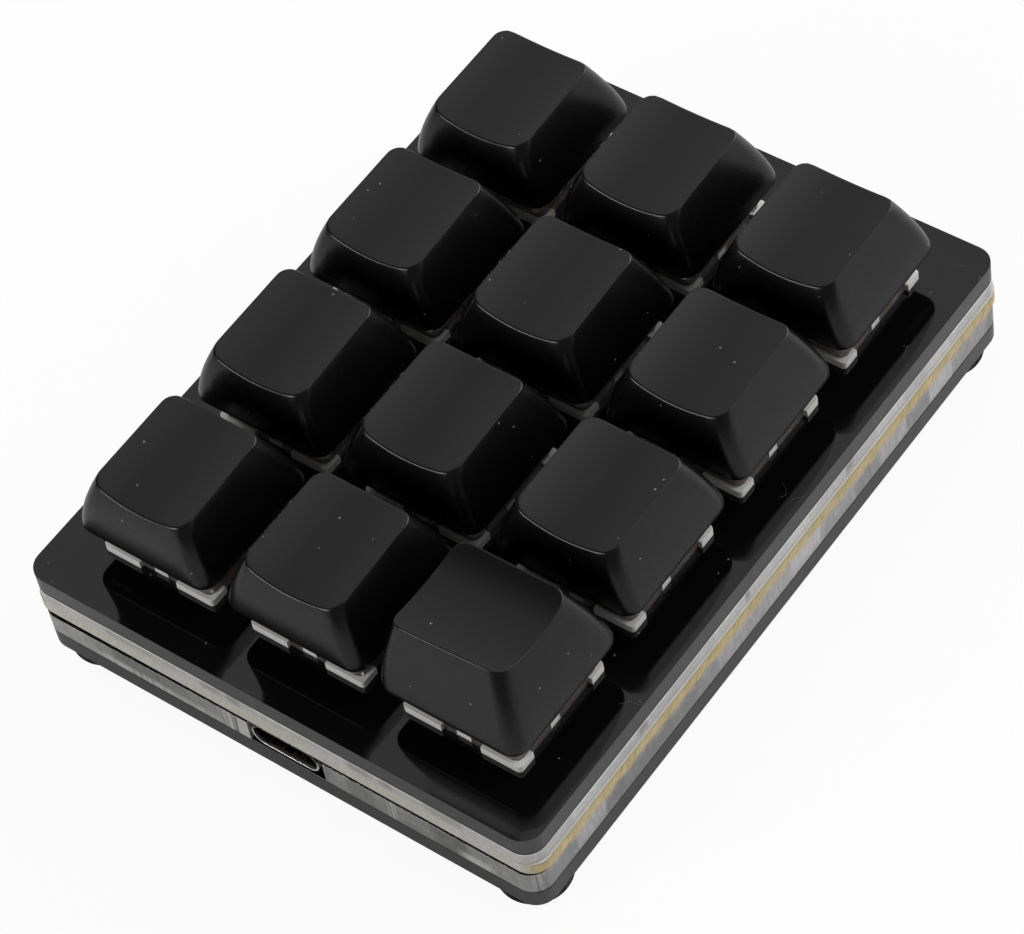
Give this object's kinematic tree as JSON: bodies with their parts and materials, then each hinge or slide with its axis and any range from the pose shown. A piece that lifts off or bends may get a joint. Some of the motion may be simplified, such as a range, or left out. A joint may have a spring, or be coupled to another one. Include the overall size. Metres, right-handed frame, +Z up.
{
  "type": "macro keypad",
  "caption": "Desktop macro keypad: sprung square keys with dished black caps on a stack of black and clear acrylic plates, with a USB-C port and round feet.",
  "frame": {"origin": "on the floor under the feet, at the middle of the outline", "axes": "+Z up, +Y to the port side (the back), +X to the right of someone who sits at the front"},
  "size_m": [0.0672, 0.0886, 0.0285],
  "materials": {
    "cap_plastic": "satin",
    "stem_plastic": "satin",
    "spring_steel": "drawn wire",
    "switch_white": "satin",
    "switch_clear": "clear, moulded",
    "contact_metal": "stamped",
    "black_acrylic": "polished",
    "clear_acrylic": "clear with cut edges",
    "board": "milled edge",
    "foot_rubber": "matte",
    "screw_steel": "plain",
    "insert_brass": "knurled",
    "washer_nylon": "satin",
    "port_metal": "plated",
    "port_plastic": "satin",
    "chip_plastic": "matte",
    "led_plastic": "gloss",
    "passive_ceramic": "matte"
  },
  "bodies": {
    "case": {"spring_r1_c1": "spring_steel", "spring_r1_c2": "spring_steel", "spring_r1_c3": "spring_steel", "spring_r2_c1": "spring_steel", "spring_r2_c2": "spring_steel", "spring_r2_c3": "spring_steel", "spring_r3_c1": "spring_steel", "spring_r3_c2": "spring_steel", "spring_r3_c3": "spring_steel", "spring_r4_c1": "spring_steel", "spring_r4_c2": "spring_steel", "spring_r4_c3": "spring_steel", "switch_bases_r1": "switch_white", "switch_bases_r2": "switch_white", "switch_bases_r3": "switch_white", "switch_bases_r4": "switch_white", "switch_covers_r1": "switch_clear", "switch_covers_r2": "switch_clear", "switch_covers_r3": "switch_clear", "switch_covers_r4": "switch_clear", "switch_contacts": "contact_metal", "top_plate": "black_acrylic", "light_sheet": "clear_acrylic", "circuit_board": "board", "lower_frame": "clear_acrylic", "bottom_plate": "black_acrylic", "feet": "foot_rubber", "case_screws": "screw_steel", "threaded_inserts": "insert_brass", "shim_washers": "washer_nylon", "usb_shell": "port_metal", "usb_tongue": "port_plastic", "microcontroller": "chip_plastic", "diodes": "chip_plastic", "leds": "led_plastic", "passives": "passive_ceramic"},
    "key_r1_c1": {"keycap_r1_c1": "cap_plastic", "stem_r1_c1": "stem_plastic"},
    "key_r1_c2": {"keycap_r1_c2": "cap_plastic", "stem_r1_c2": "stem_plastic"},
    "key_r1_c3": {"keycap_r1_c3": "cap_plastic", "stem_r1_c3": "stem_plastic"},
    "key_r2_c1": {"keycap_r2_c1": "cap_plastic", "stem_r2_c1": "stem_plastic"},
    "key_r2_c2": {"keycap_r2_c2": "cap_plastic", "stem_r2_c2": "stem_plastic"},
    "key_r2_c3": {"keycap_r2_c3": "cap_plastic", "stem_r2_c3": "stem_plastic"},
    "key_r3_c1": {"keycap_r3_c1": "cap_plastic", "stem_r3_c1": "stem_plastic"},
    "key_r3_c2": {"keycap_r3_c2": "cap_plastic", "stem_r3_c2": "stem_plastic"},
    "key_r3_c3": {"keycap_r3_c3": "cap_plastic", "stem_r3_c3": "stem_plastic"},
    "key_r4_c1": {"keycap_r4_c1": "cap_plastic", "stem_r4_c1": "stem_plastic"},
    "key_r4_c2": {"keycap_r4_c2": "cap_plastic", "stem_r4_c2": "stem_plastic"},
    "key_r4_c3": {"keycap_r4_c3": "cap_plastic", "stem_r4_c3": "stem_plastic"}
  },
  "joints": [
    {"name": "press_r1_c1", "type": "slide", "parent": "case", "child": "key_r1_c1", "axis": [0, 0, -1], "range_m": [0, 0.004], "stiffness_N_per_m": 75, "springref_m": -0.004, "deforming": ["spring_r1_c1"]},
    {"name": "press_r1_c2", "type": "slide", "parent": "case", "child": "key_r1_c2", "axis": [0, 0, -1], "range_m": [0, 0.004], "stiffness_N_per_m": 75, "springref_m": -0.004, "deforming": ["spring_r1_c2"]},
    {"name": "press_r1_c3", "type": "slide", "parent": "case", "child": "key_r1_c3", "axis": [0, 0, -1], "range_m": [0, 0.004], "stiffness_N_per_m": 75, "springref_m": -0.004, "deforming": ["spring_r1_c3"]},
    {"name": "press_r2_c1", "type": "slide", "parent": "case", "child": "key_r2_c1", "axis": [0, 0, -1], "range_m": [0, 0.004], "stiffness_N_per_m": 75, "springref_m": -0.004, "deforming": ["spring_r2_c1"]},
    {"name": "press_r2_c2", "type": "slide", "parent": "case", "child": "key_r2_c2", "axis": [0, 0, -1], "range_m": [0, 0.004], "stiffness_N_per_m": 75, "springref_m": -0.004, "deforming": ["spring_r2_c2"]},
    {"name": "press_r2_c3", "type": "slide", "parent": "case", "child": "key_r2_c3", "axis": [0, 0, -1], "range_m": [0, 0.004], "stiffness_N_per_m": 75, "springref_m": -0.004, "deforming": ["spring_r2_c3"]},
    {"name": "press_r3_c1", "type": "slide", "parent": "case", "child": "key_r3_c1", "axis": [0, 0, -1], "range_m": [0, 0.004], "stiffness_N_per_m": 75, "springref_m": -0.004, "deforming": ["spring_r3_c1"]},
    {"name": "press_r3_c2", "type": "slide", "parent": "case", "child": "key_r3_c2", "axis": [0, 0, -1], "range_m": [0, 0.004], "stiffness_N_per_m": 75, "springref_m": -0.004, "deforming": ["spring_r3_c2"]},
    {"name": "press_r3_c3", "type": "slide", "parent": "case", "child": "key_r3_c3", "axis": [0, 0, -1], "range_m": [0, 0.004], "stiffness_N_per_m": 75, "springref_m": -0.004, "deforming": ["spring_r3_c3"]},
    {"name": "press_r4_c1", "type": "slide", "parent": "case", "child": "key_r4_c1", "axis": [0, 0, -1], "range_m": [0, 0.004], "stiffness_N_per_m": 75, "springref_m": -0.004, "deforming": ["spring_r4_c1"]},
    {"name": "press_r4_c2", "type": "slide", "parent": "case", "child": "key_r4_c2", "axis": [0, 0, -1], "range_m": [0, 0.004], "stiffness_N_per_m": 75, "springref_m": -0.004, "deforming": ["spring_r4_c2"]},
    {"name": "press_r4_c3", "type": "slide", "parent": "case", "child": "key_r4_c3", "axis": [0, 0, -1], "range_m": [0, 0.004], "stiffness_N_per_m": 75, "springref_m": -0.004, "deforming": ["spring_r4_c3"]}
  ]
}
